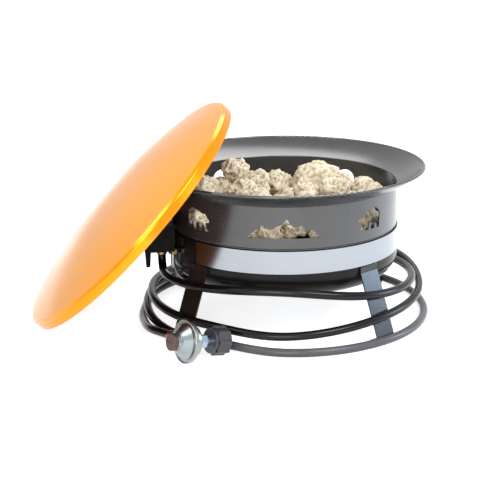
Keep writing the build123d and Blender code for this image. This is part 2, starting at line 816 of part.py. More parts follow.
def lid_place():
    """The lid stands on its edge and leans its inside on the bowl's rim."""
    lean = math.radians(lid_lean)
    out = math.cos(lean)
    up = math.sin(lean)
    height = lid_diameter / 2 * math.cos(lean)
    sphere = lid_sphere_radius()
    back = sphere - lid_band - lid_rise
    centre_height = height - up * back
    reach = sphere - lid_sheet - lip_radius - rest_gap
    over = rim_height - lip_radius - centre_height
    behind = math.sqrt(reach * reach - over * over) - (rim_radius - lip_radius)
    away = out * back - behind
    turn = math.radians(lid_azimuth)
    outward = Vector(math.sin(turn), -math.cos(turn), 0)
    axis = outward * out + Vector(0, 0, up)
    return Plane(origin=outward * away + Vector(0, 0, height), z_dir=axis)


def lid_shell():
    edge = lid_diameter / 2
    shoulder = edge - lid_step
    skirt = FilletPolyline((edge, 0), (edge, lid_band - lid_step), (shoulder, lid_band), radius=3.0)
    half = shoulder / 2
    sphere = lid_sphere_radius()
    sag = sphere - math.sqrt(sphere * sphere - half * half)
    top = lid_band + lid_rise
    dome = ThreePointArc((shoulder, lid_band), (half, top - sag), (0, top))
    path = Wire([*skirt.edges(), dome.edge()])
    body = spun(sheet_outline(path, lid_sheet))
    return lid_place().location * body


# Rock shapes: twelve corners on a ball, pulled in and out, joined by twenty faces
golden = (1 + math.sqrt(5)) / 2
ball_corners = [
    (-1, golden, 0), (1, golden, 0), (-1, -golden, 0), (1, -golden, 0), (0, -1, golden), (0, 1, golden),
    (0, -1, -golden), (0, 1, -golden), (golden, 0, -1), (golden, 0, 1), (-golden, 0, -1), (-golden, 0, 1),
]
ball_faces = [
    (0, 11, 5), (0, 5, 1), (0, 1, 7), (0, 7, 10), (0, 10, 11), (1, 5, 9), (5, 11, 4), (11, 10, 2),
    (10, 7, 6), (7, 1, 8), (3, 9, 4), (3, 4, 2), (3, 2, 6), (3, 6, 8), (3, 8, 9), (4, 9, 5), (2, 4, 11),
    (6, 2, 10), (8, 6, 7), (9, 8, 1),
]


def rock_corners(seed, width, depth, height, turn):
    """Corners of one rock about its middle, uneven by a sum of sines."""
    spin = math.radians(turn)
    size = math.sqrt(1 + golden * golden)
    corners = []
    for k, (x, y, z) in enumerate(ball_corners):
        uneven = 1 + 0.11 * math.sin(2.3 * k + 1.7 * seed) + 0.07 * math.sin(5.1 * k + 0.9 * seed)
        x, y, z = x / size * uneven, y / size * uneven, z / size * uneven
        x, y, z = x * width / 2, y * depth / 2, z * height / 2
        corners.append((x * math.cos(spin) - y * math.sin(spin), x * math.sin(spin) + y * math.cos(spin), z))
    return corners


def height_on_face(face, x, y):
    """Height of a triangle over a point, or None beside it."""
    (x0, y0, z0), (x1, y1, z1), (x2, y2, z2) = face
    area = (x1 - x0) * (y2 - y0) - (x2 - x0) * (y1 - y0)
    if abs(area) < 1e-9:
        return None
    u = ((x - x0) * (y2 - y0) - (x2 - x0) * (y - y0)) / area
    v = ((x1 - x0) * (y - y0) - (x - x0) * (y1 - y0)) / area
    if u < -1e-9 or v < -1e-9 or u + v > 1 + 1e-9:
        return None
    return z0 + u * (z1 - z0) + v * (z2 - z0)


def crossing_gap(upper, lower):
    """Height of one edge over another where they cross in plan, or None."""
    (ax, ay, az), (bx, by, bz) = upper
    (cx, cy, cz), (dx, dy, dz) = lower
    area = (bx - ax) * (dy - cy) - (by - ay) * (dx - cx)
    if abs(area) < 1e-9:
        return None
    s = ((cx - ax) * (dy - cy) - (cy - ay) * (dx - cx)) / area
    t = ((cx - ax) * (by - ay) - (cy - ay) * (bx - ax)) / area
    if not (0 <= s <= 1 and 0 <= t <= 1):
        return None
    return az + s * (bz - az) - cz - t * (dz - cz)


def faces_of(corners, faces):
    return [tuple(corners[i] for i in face) for face in faces]


def edges_of(corners, faces):
    pairs = {tuple(sorted((face[i], face[(i + 1) % 3]))) for face in faces for i in range(3)}
    return [(corners[i], corners[j]) for i, j in sorted(pairs)]


def apart_in_plan(one, other):
    for axis in (0, 1):
        if max(p[axis] for p in one) < min(p[axis] for p in other):
            return True
        if max(p[axis] for p in other) < min(p[axis] for p in one):
            return True
    return False


def fall(corners, resting):
    """How far a rock held high can fall onto the floor or what already lies there."""
    floor = tray_floor + tray_sheet
    drop = min(p[2] for p in corners) - floor
    upper_faces = faces_of(corners, ball_faces)
    upper_edges = edges_of(corners, ball_faces)
    for lower, faces in resting:
        if apart_in_plan(corners, lower):
            continue
        lower_faces = faces_of(lower, faces)
        lower_edges = edges_of(lower, faces)
        gaps = []
        for x, y, z in corners:
            gaps += [z - h for f in lower_faces if (h := height_on_face(f, x, y)) is not None]
        for x, y, z in lower:
            gaps += [h - z for f in upper_faces if (h := height_on_face(f, x, y)) is not None]
        for a in upper_edges:
            gaps += [g for b in lower_edges if (g := crossing_gap(a, b)) is not None]
        if gaps:
            drop = min(drop, min(gaps))
    return drop - rock_gap


def upper_half(path, radius):
    """Corners and faces of a tube's upper half along points with sideways directions."""
    across = 8
    outer = radius / math.cos(math.pi / across / 2)
    corners = []
    for (x, y), (side_x, side_y) in path:
        for j in range(across + 1):
            roll = math.pi * j / across
            reach = outer * math.cos(roll)
            corners.append((x + reach * side_x, y + reach * side_y, burner_height + outer * math.sin(roll)))
    faces = []
    for i in range(len(path) - 1):
        for j in range(across):
            a = i * (across + 1) + j
            c = a + across + 2
            faces += [(a, a + across + 1, c), (a, c, a + 1)]
    return corners, faces


def burner_shapes():
    """The burner as the rocks meet it from above: its ring, its spokes and its hub."""
    around = 72
    ring = []
    for i in range(around + 1):
        turn = 2 * math.pi * i / around
        way = (math.cos(turn), math.sin(turn))
        ring.append(((burner_diameter / 2 * way[0], burner_diameter / 2 * way[1]), way))
    spoke = [((-burner_diameter / 2, 0), (0, 1)), ((burner_diameter / 2, 0), (0, 1))]
    sides = 12
    half = burner_hub_diameter / 2 / math.cos(math.pi / sides) + 0.1
    hub = [(0, 0, hub_top)]
    hub += [(half * math.cos(t * math.pi / 6), half * math.sin(t * math.pi / 6), hub_top) for t in range(sides)]
    hub_faces = [(0, 1 + k, 1 + (k + 1) % sides) for k in range(sides)]
    return [
        upper_half(ring, burner_tube_diameter / 2),
        upper_half(spoke, burner_spoke_diameter / 2),
        (hub, hub_faces),
    ]


# Lava rock, layer by layer: azimuth, distance from the axis, width, depth, height
under_layer = [(0, 0, 60, 56, 44)]
under_layer += [(60 * k + 12, 66, 58 + 4 * (k % 3), 54, 46 + 5 * (k % 2)) for k in range(6)]
under_layer += [(30 * k, 137, 57 + 5 * (k % 3), 52 + 4 * (k % 2), 44 + 6 * (k % 3)) for k in range(12)]
upper_layer = [
    (18, 112, 58, 50, 34), (-14, 128, 62, 46, 30), (-48, 118, 54, 52, 38), (48, 126, 60, 46, 32),
    (78, 126, 58, 50, 36), (-84, 118, 60, 52, 36), (106, 126, 66, 54, 50), (144, 118, 62, 52, 38),
    (172, 118, 60, 50, 36), (-143, 122, 60, 54, 44), (-118, 124, 60, 50, 42), (30, 52, 60, 52, 38),
    (132, 78, 100, 66, 66), (-40, 56, 62, 52, 36), (-120, 58, 60, 54, 44), (-160, 68, 60, 54, 38),
]
crown_layer = [
    (8, 92, 48, 44, 36), (48, 98, 51, 44, 40), (88, 96, 52, 44, 36), (-32, 98, 51, 44, 40), (-72, 92, 48, 44, 36),
    (-126, 106, 62, 50, 42), (-90, 140, 56, 48, 56),
    (-62, 138, 48, 42, 34), (64, 140, 46, 42, 32), (4, 142, 48, 40, 32), (-28, 144, 46, 40, 34),
    (34, 144, 44, 40, 32), (88, 152, 44, 42, 46),
]


def settled_rocks():
    """Lets each rock roll to the lowest place near its spot and come to rest."""
    resting = burner_shapes()
    layers = []
    seed = 0
    for layer in (under_layer, upper_layer, crown_layer):
        settled = []
        for azimuth, reach, width, depth, height in layer:
            seed += 1
            corners = rock_corners(seed, width, depth, height, 73 * seed)
            middle = on_coil(azimuth, reach, rim_height + 200)
            places = []
            for across, along in rolls:
                x, y = middle.X + across * roll_reach, middle.Y + along * roll_reach
                moved = [(cx + x, cy + y, cz + middle.Z) for cx, cy, cz in corners]
                if max(math.hypot(cx, cy) for cx, cy, cz in moved) > heap_radius:
                    continue
                drop = fall(moved, resting)
                landed = [(cx, cy, cz - drop) for cx, cy, cz in moved]
                places.append((max(cz for cx, cy, cz in landed), landed))
            if not places:
                continue
            top, landed = min(places)
            if top > heap_top:
                continue
            resting.append((landed, ball_faces))
            settled.append(landed)
        layers.append(settled)
    return layers


def rock_solid(corners):
    faces = [Face(Wire.make_polygon([Vector(*corners[i]) for i in face], close=True)) for face in ball_faces]
    return Solid(Shell(faces))


def rock_group(settled):
    solids = [rock_solid(corners) for corners in settled]
    widest = max(math.hypot(x, y) for corners in settled for x, y, z in corners)
    highest = max(z for corners in settled for x, y, z in corners)
    print("rocks", len(solids), "widest", round(widest, 1), "highest", round(highest, 1))
    return Compound(solids)


def main():
    under, upper, crown = settled_rocks()
    pieces = {
        "fire_ring": fire_ring(),
        "lower_bowl": lower_bowl(),
        "label_band": label_band(),
        "seam_rivets": seam_rivets(),
        "burner_tray": burner_tray(),
        "burner_ring": burner_ring(),
        "burner_stands": burner_stands(),
        "feed_pipe": feed_pipe(),
        "outlet_nut": outlet_nut(),
        "valve_body": valve_body(),
        "valve_stem": valve_stem(),
        "control_knob": control_knob(),
        "valve_box": valve_box(),
        "valve_bracket": valve_bracket(),
        "bracket_screws": bracket_screws(),
        "hose_guide": hose_guide(),
        "inlet_hex": inlet_hex(),
        "valve_ferrule": valve_ferrule(),
        "gas_hose": gas_hose(),
        "regulator_ferrule": regulator_ferrule(),
        "regulator_case": regulator_case(),
        "regulator_bonnet": regulator_bonnet(),
        "vent_cap": vent_cap(),
        "inlet_nipple": inlet_nipple(),
        "coupling_nut": coupling_nut(),
        "lid_shell": lid_shell(),
        "lava_rocks_under": rock_group(under),
        "lava_rocks_upper": rock_group(upper),
        "lava_rocks_crown": rock_group(crown),
    }
    strap = leg()
    for side, azimuth in leg_azimuths.items():
        pieces["leg_" + side] = radial(azimuth) * strap
    for name, shape in pieces.items():
        export_step(shape, "parts/" + name + ".step")


main()
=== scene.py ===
import bpy
import json
import math
from mathutils import Matrix, Vector


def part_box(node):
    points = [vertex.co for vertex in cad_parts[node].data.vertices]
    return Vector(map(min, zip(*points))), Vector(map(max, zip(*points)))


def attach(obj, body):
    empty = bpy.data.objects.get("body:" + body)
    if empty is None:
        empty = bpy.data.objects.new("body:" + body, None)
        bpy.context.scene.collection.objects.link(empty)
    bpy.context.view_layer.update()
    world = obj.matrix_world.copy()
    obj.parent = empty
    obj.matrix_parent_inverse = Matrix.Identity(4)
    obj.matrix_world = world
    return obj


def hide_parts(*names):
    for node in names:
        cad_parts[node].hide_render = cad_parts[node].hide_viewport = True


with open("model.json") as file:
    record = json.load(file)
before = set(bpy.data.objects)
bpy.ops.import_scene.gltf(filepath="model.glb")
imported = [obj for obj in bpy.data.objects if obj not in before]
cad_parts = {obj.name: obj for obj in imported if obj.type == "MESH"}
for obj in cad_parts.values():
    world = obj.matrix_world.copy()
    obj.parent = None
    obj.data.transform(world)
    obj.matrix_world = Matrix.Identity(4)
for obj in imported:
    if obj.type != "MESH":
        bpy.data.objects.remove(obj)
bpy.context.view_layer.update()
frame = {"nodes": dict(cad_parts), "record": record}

# Propane fire bowl with its lid leaning on the rim. Everything is in metres,
# with the origin on the ground under the bowl and -Y towards the camera.
# An azimuth is counted from the front (-Y) towards the right (+X), in degrees.

nodes = frame["nodes"]
bpy.ops.object.select_all(action="DESELECT")


# Small helpers

def around(azimuth, radius, height):
    turn = math.radians(azimuth)
    return Vector((radius * math.sin(turn), -radius * math.cos(turn), height))


def pick(obj):
    bpy.ops.object.select_all(action="DESELECT")
    obj.select_set(True)
    bpy.context.view_layer.objects.active = obj


def finishWith(obj, kind, name, **values):
    pick(obj)
    modifier = obj.modifiers.new(name, kind)
    for key, value in values.items():
        setattr(modifier, key, value)
    bpy.ops.object.modifier_apply(modifier=modifier.name)


# A node whose sockets and settings are given by name
def put(tree, kind, sockets=None, **settings):
    node = tree.nodes.new(kind)
    for key, value in settings.items():
        setattr(node, key, value)
    for key, value in (sockets or {}).items():
        node.inputs[key].default_value = value
    return node


def rgba(color):
    return (*color, 1.0)


# Camera

cameraSet = {
    "place": (0.0, -2.408, 0.794),
    "pitch": 15.49,  # down, degrees
    "yaw": -1.80,
    "roll": -0.49,
    "sensor": 36.0,  # mm
    "lens": 108.0,
}


def addCamera(s):
    pitch, yaw, roll = (math.radians(s[k]) for k in ("pitch", "yaw", "roll"))
    level = math.cos(pitch)
    ahead = Vector((math.sin(yaw) * level, math.cos(yaw) * level, -math.sin(pitch)))
    right = Vector((math.cos(yaw), -math.sin(yaw), 0.0))
    up = right.cross(ahead)
    tiltedRight = math.cos(roll) * right + math.sin(roll) * up
    tiltedUp = math.cos(roll) * up - math.sin(roll) * right
    turn = Matrix((tiltedRight, tiltedUp, -ahead)).transposed()
    bpy.ops.object.camera_add(location=s["place"], rotation=turn.to_euler())
    camera = bpy.context.object
    camera.name = "photoCamera"
    camera.data.sensor_width = s["sensor"]
    camera.data.lens = s["lens"]
    bpy.context.scene.camera = camera


addCamera(cameraSet)
print("camera in place")


# Gas hose

# The legs' outer faces, which lean outwards below their bend
legSet = {"faceRadius": 0.1981, "slope": 43.0 / 113.0, "bend": 0.113}

hoseSet = {
    "diameter": 0.014,
    "legGap": 0.0012,
    "sag": 0.0028,  # how far the turns pull in between the legs
    "valveAzimuth": -78.0,
    "valveRadius": 0.213,
    "top": 0.128,
    "drops": (0.0, 0.004, 0.009, 0.013),  # points straight below the valve
    "straight": 0.015,
    "leadBend": 0.025,  # radius of the turn from the valve towards the coil
    "leadAngles": (15, 45, 75),
    "leadWay": ((-68.0, 0.2155, 0.0880), (-59.0, 0.2168, 0.0892)),  # azimuth, radius, height
    "coilStart": (-45.0, 0.091),  # azimuth and height at the first leg
    "coilAzimuths": (-48.0, 985.0),
    "heights": {  # by azimuth, one value for each turn
        0: (0.0975, 0.031, 0.0073), 45: (0.077, 0.043, 0.0073),
        90: (0.067, 0.052, 0.0073), 135: (0.061, 0.068, 0.009),
        180: (0.058, 0.040, 0.0073), 225: (0.040, 0.022, 0.0073),
        270: (0.046, 0.027, 0.0073), 315: (0.042, 0.015),
    },
    # Outwards, by turn and azimuth
    "offsets": {(0, 315): 0.0045, (1, 90): 0.008, (1, 135): 0.023, (1, 315): 0.0045},
    "nutAzimuth": -27.1,
    "nutRadius": 0.2281,
    "nutHeights": {1: 0.036, 2: 0.010},  # by turn, where it passes behind the tank nut
    "step": 9.0,
    "wayToEnd": (
        (-0.2435, -0.040, 0.0080), (-0.2395, -0.078, 0.0095), (-0.2325, -0.116, 0.0135),
        (-0.2245, -0.149, 0.0176), (-0.2130, -0.176, 0.0222),
    ),
    "end": (-0.17537, -0.22384, 0.02798),
    "endWay": (-0.571753, 0.811575, -0.120187),  # back along the hose from its end
    "endReaches": (0.024, 0.012, 0.0),
    "length": 4.67,
}


def legReach(height):
    s = hoseSet
    face = legSet["faceRadius"] + legSet["slope"] * (legSet["bend"] - height)
    return face + (s["diameter"] / 2 + s["legGap"]) / math.cos(math.atan(legSet["slope"]))


# Azimuth, radius and height at the legs, half way between them and behind the tank nut
def hoseStations():
    s = hoseSet
    azimuth, height = s["coilStart"]
    stations = [(azimuth, legReach(height), height)]
    for azimuth, heights in s["heights"].items():
        for turn, height in enumerate(heights):
            radius = legReach(height) - (s["sag"] if azimuth % 90 == 0 else 0.0)
            radius += s["offsets"].get((turn, azimuth), 0.0)
            stations.append((360.0 * turn + azimuth, radius, height))
    for turn, height in s["nutHeights"].items():
        stations.append((360.0 * turn + s["nutAzimuth"], s["nutRadius"], height))
    return sorted(stations)


# Radius and height of the coil at an azimuth, smooth through the stations
def coilAt(stations, azimuth):
    k = max(i for i in range(len(stations) - 1) if stations[i][0] <= azimuth or i == 0)
    here, there = stations[k], stations[k + 1]
    before, after = stations[max(k - 1, 0)], stations[min(k + 2, len(stations) - 1)]
    span = there[0] - here[0]
    t = (azimuth - here[0]) / span
    values = []
    for axis in (1, 2):
        slopeHere = (there[axis] - before[axis]) / (there[0] - before[0]) * span
        slopeThere = (after[axis] - here[axis]) / (after[0] - here[0]) * span
        values.append(
            (2 * t**3 - 3 * t**2 + 1) * here[axis] + (t**3 - 2 * t**2 + t) * slopeHere
            + (3 * t**2 - 2 * t**3) * there[axis] + (t**3 - t**2) * slopeThere
        )
    return values


# Control points from the valve to the regulator
def hosePoints():
    s = hoseSet
    exitPoint = around(s["valveAzimuth"], s["valveRadius"], s["top"])
    points = [exitPoint - Vector((0, 0, drop)) for drop in s["drops"]]
    turn = math.radians(s["valveAzimuth"])
    forward = Vector((math.cos(turn), math.sin(turn), 0))
    start = exitPoint - Vector((0, 0, s["straight"]))
    bend = s["leadBend"]
    reach = bend / math.cos(math.radians(s["leadAngles"][0]))
    for angle in s["leadAngles"]:
        a = math.radians(angle)
        down = Vector((0, 0, reach * math.sin(a)))
        points.append(start + forward * (bend - reach * math.cos(a)) - down)
    points += [around(*place) for place in s["leadWay"]]
    stations = hoseStations()
    grow = 1 / math.cos(math.radians(s["step"] / 2))
    azimuth, last = s["coilAzimuths"]
    while azimuth < last:
        radius, height = coilAt(stations, azimuth)
        points.append(around(azimuth, radius * grow, height))
        azimuth += s["step"]
    points += [Vector(place) for place in s["wayToEnd"]]
    end, way = Vector(s["end"]), Vector(s["endWay"])
    points += [end + way * reach for reach in s["endReaches"]]
    return points


def addHose(s):
    curve = bpy.data.curves.new("gasHose", "CURVE")
    curve.dimensions = "3D"
    curve.bevel_depth = 1.0  # each point's radius below scales it
    curve.bevel_resolution = 4
    curve.resolution_u = 6
    curve.use_fill_caps = True
    spline = curve.splines.new("NURBS")
    points = hosePoints()
    spline.points.add(len(points) - 1)
    for point, place in zip(spline.points, points):
        point.co = (*place, 1.0)
        point.radius = s["diameter"] / 2
    spline.order_u = 3
    spline.use_endpoint_u = True
    hose = bpy.data.objects.new("hoseTube", curve)
    bpy.context.scene.collection.objects.link(hose)
    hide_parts("gas_hose")
    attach(hose, "bowl")
    return hose


hoseTube = addHose(hoseSet)
print("hose laid with", len(hoseTube.data.splines[0].points), "points")


# Finger below the valve's cover

fingerSet = {
    "topWidth": 0.0105,  # along the bowl's radius
    "tipWidth": 0.0068,
    "thickness": 0.0042,
    "reachOut": 0.0008,  # past the strip, still behind the cover's front
    "edge": 0.0009,
    "edgeCuts": 3,
    "smoothAngle": 50,
}


# A tapered, rounded finger in the place of the node's plain strip
def addFinger(s):
    low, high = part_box("hose_guide")
    turn = math.radians(hoseSet["valveAzimuth"])
    outward = Vector((math.sin(turn), -math.cos(turn), 0.0))
    middle = (low + high) / 2 + outward * (0.5 * (high.x - low.x) + s["reachOut"])
    bpy.ops.object.select_all(action="DESELECT")
    bpy.ops.mesh.primitive_cube_add(size=1.0, location=(0, 0, 0))
    finger = bpy.context.object
    finger.name = "guideFinger"
    finger.scale = (s["topWidth"], s["thickness"], high.z - low.z)
    finger.rotation_euler = (0, 0, math.atan2(outward.y, outward.x))
    finger.location = middle
    bpy.ops.object.transform_apply(location=True, rotation=True, scale=True)
    bpy.ops.object.mode_set(mode="EDIT")
    bpy.ops.mesh.select_all(action="DESELECT")
    bpy.ops.object.mode_set(mode="OBJECT")
    for face in finger.data.polygons:
        face.select = face.normal.z < -0.9  # the tip
    bpy.ops.object.mode_set(mode="EDIT")
    shrink = s["tipWidth"] / s["topWidth"]
    bpy.ops.transform.resize(value=(shrink, shrink, 1.0))
    bpy.ops.mesh.select_all(action="SELECT")
    bpy.ops.mesh.bevel(offset=s["edge"], segments=s["edgeCuts"], affect="EDGES")
    bpy.ops.object.mode_set(mode="OBJECT")
    bpy.ops.object.shade_smooth_by_angle(angle=math.radians(s["smoothAngle"]))
    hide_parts("hose_guide")
    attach(finger, "bowl")
    return finger


guideFinger = addFinger(fingerSet)
print("finger shaped")


# Lava stones

rockSet = {
    "mergeWithin": 0.0001,
    "cuts": 7,
    "roundness": 0.25,
    "lastRoundness": 0.3,
    "crumble": 0.9,
    "lumpSize": 0.018,
    "lumpDetail": 3,
    "lumpHeight": 0.018,
    "lumpLevel": 0.42,
    "ridgeSize": 0.0135,
    "ridgeDetail": 2,
    "ridgeHeight": 0.0052,
    "ridgeLevel": 0.35,
    "pitSize": 0.0042,
    "pitDepth": 0.0022,
    "pitLevel": 0.75,
    "smoothAngle": 50,
}


def press(rocks, name, texture, strength, level):
    finishWith(
        rocks, "DISPLACE", name, texture=texture, texture_coords="LOCAL",
        strength=strength, mid_level=level,
    )


# Turns a copy of the node's plain stones into rough, pitted ones
def addRocks(node, name, seed, s):
    rocks = nodes[node].copy()
    rocks.data = nodes[node].data.copy()
    for key in list(rocks.keys()):
        del rocks[key]
    rocks.parent = None
    rocks.name = name
    bpy.context.scene.collection.objects.link(rocks)
    rocks.hide_render = False
    pick(rocks)
    bpy.ops.object.mode_set(mode="EDIT")
    bpy.ops.mesh.select_all(action="SELECT")
    bpy.ops.mesh.remove_doubles(threshold=s["mergeWithin"])
    bpy.ops.mesh.subdivide(number_cuts=s["cuts"], smoothness=s["roundness"], fractal=0.0, seed=seed)
    bpy.ops.mesh.subdivide(
        number_cuts=1, smoothness=s["lastRoundness"], fractal=s["crumble"], seed=seed,
    )
    bpy.ops.object.mode_set(mode="OBJECT")
    lumps = bpy.data.textures.new(name + "Lumps", "CLOUDS")
    lumps.noise_scale = s["lumpSize"]
    lumps.noise_depth = s["lumpDetail"]
    pits = bpy.data.textures.new(name + "Pits", "VORONOI")
    pits.noise_scale = s["pitSize"]
    pits.distance_metric = "DISTANCE_SQUARED"
    ridges = bpy.data.textures.new(name + "Ridges", "CLOUDS")
    ridges.noise_scale = s["ridgeSize"]
    ridges.noise_type = "HARD_NOISE"
    ridges.noise_depth = s["ridgeDetail"]
    press(rocks, "lumps", lumps, s["lumpHeight"], s["lumpLevel"])
    press(rocks, "ridges", ridges, -s["ridgeHeight"], s["ridgeLevel"])
    press(rocks, "pits", pits, s["pitDepth"], s["pitLevel"])
    bpy.ops.object.shade_smooth_by_angle(angle=math.radians(s["smoothAngle"]))
    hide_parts(node)
    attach(rocks, "bowl")
    return rocks


rockPieces = [
    addRocks("lava_rocks_under", "stonesUnder", 3, rockSet),
    addRocks("lava_rocks_upper", "stonesUpper", 5, rockSet),
    addRocks("lava_rocks_crown", "stonesCrown", 8, rockSet),
]
print("stones roughened")


# Node groups shared by the finishes

def newGroup(name, inputs, outLabel, outKind):
    group = bpy.data.node_groups.new(name, "ShaderNodeTree")
    for label, value in inputs.items():
        kind = "NodeSocketColor" if isinstance(value, tuple) else "NodeSocketFloat"
        socket = group.interface.new_socket(label, in_out="INPUT", socket_type=kind)
        socket.default_value = value
    group.interface.new_socket(outLabel, in_out="OUTPUT", socket_type=outKind)
    return group, put(group, "NodeGroupInput"), put(group, "NodeGroupOutput")


# Two shades mixed by soft noise on object coordinates
def buildPatchyColor():
    group, entry, leave = newGroup(
        "patchyColor",
        {"Light": (0.5, 0.5, 0.5, 1), "Dark": (0.4, 0.4, 0.4, 1), "Scale": 20.0, "Contrast": 0.5},
        "Color", "NodeSocketColor",
    )
    link = group.links.new
    coords = put(group, "ShaderNodeTexCoord")
    noise = put(group, "ShaderNodeTexNoise", {"Detail": 5.0})
    half = put(group, "ShaderNodeMath", {1: 0.5}, operation="MULTIPLY")
    low = put(group, "ShaderNodeMath", {0: 0.5}, operation="SUBTRACT")
    high = put(group, "ShaderNodeMath", {0: 0.5})
    spread = put(group, "ShaderNodeMapRange")
    mix = put(group, "ShaderNodeMix", data_type="RGBA")
    link(coords.outputs["Object"], noise.inputs["Vector"])
    link(entry.outputs["Scale"], noise.inputs["Scale"])
    link(entry.outputs["Contrast"], half.inputs[0])
    link(half.outputs[0], low.inputs[1])
    link(half.outputs[0], high.inputs[1])
    link(noise.outputs["Fac"], spread.inputs["Value"])
    link(low.outputs[0], spread.inputs["From Min"])
    link(high.outputs[0], spread.inputs["From Max"])
    link(spread.outputs["Result"], mix.inputs["Factor"])
    link(entry.outputs["Light"], mix.inputs["A"])
    link(entry.outputs["Dark"], mix.inputs["B"])
    link(mix.outputs["Result"], leave.inputs["Color"])
    return group


# A fine bump, such as baked enamel or a cast skin
def buildFineGrain():
    group, entry, leave = newGroup(
        "fineGrain", {"Scale": 400.0, "Strength": 0.1, "Depth": 0.0004},
        "Normal", "NodeSocketVector",
    )
    link = group.links.new
    coords = put(group, "ShaderNodeTexCoord")
    noise = put(group, "ShaderNodeTexNoise", {"Detail": 3.0})
    bump = put(group, "ShaderNodeBump")
    link(coords.outputs["Object"], noise.inputs["Vector"])
    link(entry.outputs["Scale"], noise.inputs["Scale"])
    link(entry.outputs["Strength"], bump.inputs["Strength"])
    link(entry.outputs["Depth"], bump.inputs["Distance"])
    link(noise.outputs["Fac"], bump.inputs["Height"])
    link(bump.outputs["Normal"], leave.inputs["Normal"])
    return group


# Roughness that wanders between two values, like handled metal
def buildRoughSpread():
    group, entry, leave = newGroup(
        "roughSpread", {"Low": 0.3, "High": 0.45, "Scale": 12.0},
        "Roughness", "NodeSocketFloat",
    )
    link = group.links.new
    coords = put(group, "ShaderNodeTexCoord")
    noise = put(group, "ShaderNodeTexNoise", {"Detail": 6.0})
    spread = put(group, "ShaderNodeMapRange", {"From Min": 0.3, "From Max": 0.7})
    link(coords.outputs["Object"], noise.inputs["Vector"])
    link(entry.outputs["Scale"], noise.inputs["Scale"])
    link(noise.outputs["Fac"], spread.inputs["Value"])
    link(entry.outputs["Low"], spread.inputs["To Min"])
    link(entry.outputs["High"], spread.inputs["To Max"])
    link(spread.outputs["Result"], leave.inputs["Roughness"])
    return group


# A tint on outer edges, found by the surface's pointiness and broken up by noise
def buildEdgeTint():
    group, entry, leave = newGroup(
        "edgeTint",
        {"Color": (0.5, 0.5, 0.5, 1), "Edge": (0.7, 0.7, 0.7, 1), "Amount": 0.4, "Scale": 60.0},
        "Color", "NodeSocketColor",
    )
    link = group.links.new
    coords = put(group, "ShaderNodeTexCoord")
    geometry = put(group, "ShaderNodeNewGeometry")
    noise = put(group, "ShaderNodeTexNoise")
    edge = put(group, "ShaderNodeMapRange", {"From Min": 0.52, "From Max": 0.62})
    broken = put(group, "ShaderNodeMath", operation="MULTIPLY")
    amount = put(group, "ShaderNodeMath", operation="MULTIPLY")
    mix = put(group, "ShaderNodeMix", data_type="RGBA")
    link(coords.outputs["Object"], noise.inputs["Vector"])
    link(entry.outputs["Scale"], noise.inputs["Scale"])
    link(geometry.outputs["Pointiness"], edge.inputs["Value"])
    link(edge.outputs["Result"], broken.inputs[0])
    link(noise.outputs["Fac"], broken.inputs[1])
    link(broken.outputs[0], amount.inputs[0])
    link(entry.outputs["Amount"], amount.inputs[1])
    link(amount.outputs[0], mix.inputs["Factor"])
    link(entry.outputs["Color"], mix.inputs["A"])
    link(entry.outputs["Edge"], mix.inputs["B"])
    link(mix.outputs["Result"], leave.inputs["Color"])
    return group


patchyColor = buildPatchyColor()
fineGrain = buildFineGrain()
roughSpread = buildRoughSpread()
edgeTint = buildEdgeTint()


def useGroup(material, group, **values):
    node = material.node_tree.nodes.new("ShaderNodeGroup")
    node.node_tree = group
    for key, value in values.items():
        node.inputs[key].default_value = value
    return node


def newMaterial(name, metallic=0.0, specular=0.5, coat=0.0, coatRoughness=0.1):
    material = bpy.data.materials.new(name)
    material.use_nodes = True
    shader = material.node_tree.nodes["Principled BSDF"]
    shader.inputs["Metallic"].default_value = metallic
    shader.inputs["Specular IOR Level"].default_value = specular
    shader.inputs["Coat Weight"].default_value = coat
    shader.inputs["Coat Roughness"].default_value = coatRoughness
    return material, shader, material.node_tree.links.new


# Plain finishes, by material slot or by the darker black, a painted shade, that shadedFinish names.
# What one leaves out comes from commonFinish, and its edge tint from its light shade.

commonFinish = {
    "metallic": 0.0,
    "specular": 0.5,
    "coat": 0.0,
    "coatRoughness": 0.1,
    "patchScale": 18.0,
    "contrast": 0.5,
    "edgeAmount": 0.3,
    "edgeScale": 90.0,
    "roughScale": 14.0,
    "grain": 0.1,
    "grainScale": 500.0,
    "grainDepth": 0.0004,
}

